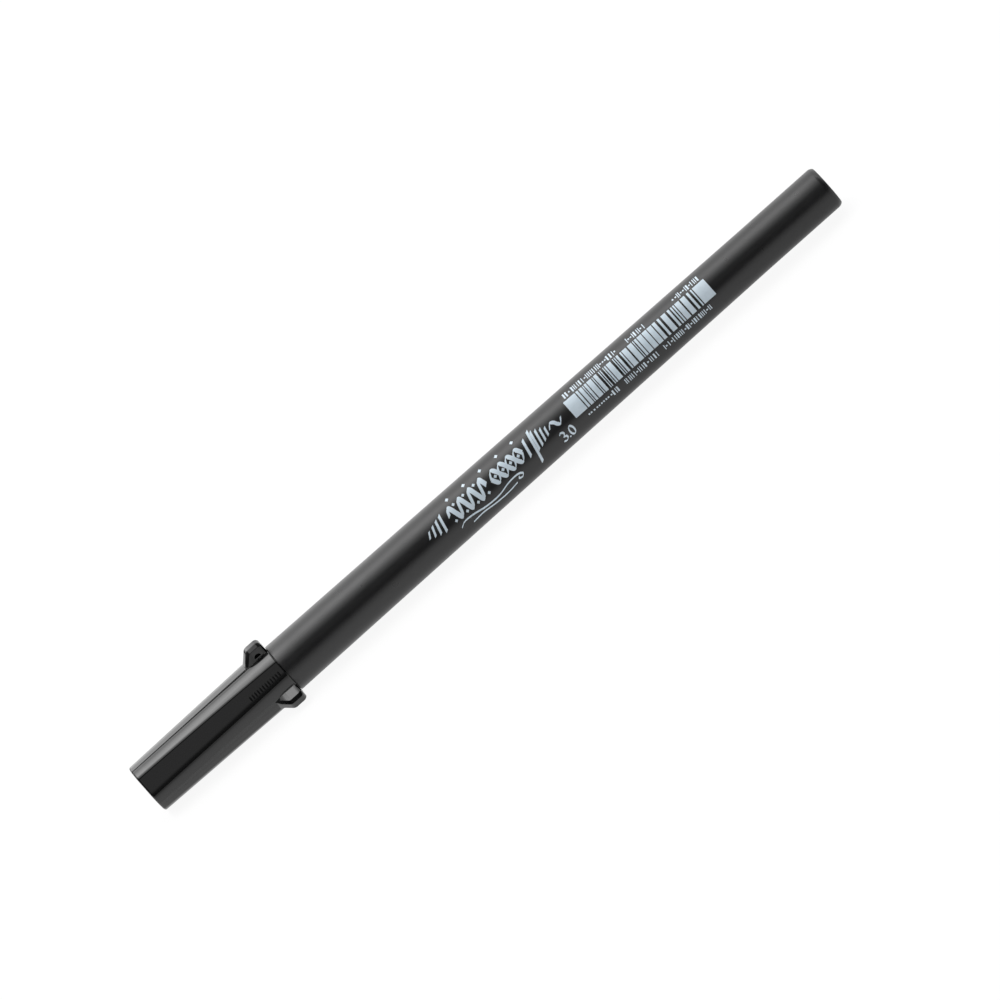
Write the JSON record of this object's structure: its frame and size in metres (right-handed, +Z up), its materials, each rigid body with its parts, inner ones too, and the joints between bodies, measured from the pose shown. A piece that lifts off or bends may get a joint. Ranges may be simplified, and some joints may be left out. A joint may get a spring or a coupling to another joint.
{
  "type": "calligraphy marker",
  "caption": "Capped calligraphy marker: slim tapered barrel, faceted cap with three anti-roll fins that pulls off a chisel nib fed by a fibre ink reservoir.",
  "frame": {"origin": "on the desk below the middle of the capped marker, midway between the cap's closed end and the tail", "axes": "+X along the pen from the cap towards the tail, +Z up from the desk, one cap fin pointing straight up, print side facing -Y and up"},
  "size_m": [0.146, 0.013, 0.0117],
  "materials": {
    "barrel_plastic": "satin moulded black with a fine texture",
    "cap_plastic": "polished moulded black",
    "plug_plastic": "moulded black",
    "section_plastic": "semi-gloss moulded black",
    "liner_plastic": "milky natural plastic",
    "nib_fibre": "ground fibre, ink-stained at the tip",
    "ink_fibre": "ink-soaked fibre bundle",
    "film": "thin clear-white film"
  },
  "bodies": {
    "barrel": {"barrel_tube": "barrel_plastic", "tail_plug": "plug_plastic", "front_section": "section_plastic", "nib": "nib_fibre", "reservoir_fibre": "ink_fibre", "reservoir_film": "film", "breather_tube": "film"},
    "cap": {"cap_shell": "cap_plastic", "cap_liner": "liner_plastic"}
  },
  "joints": [
    {"name": "cap_slide", "type": "slide", "parent": "barrel", "child": "cap", "axis": [-1, 0, 0], "range_m": [0, 0.045]}
  ]
}
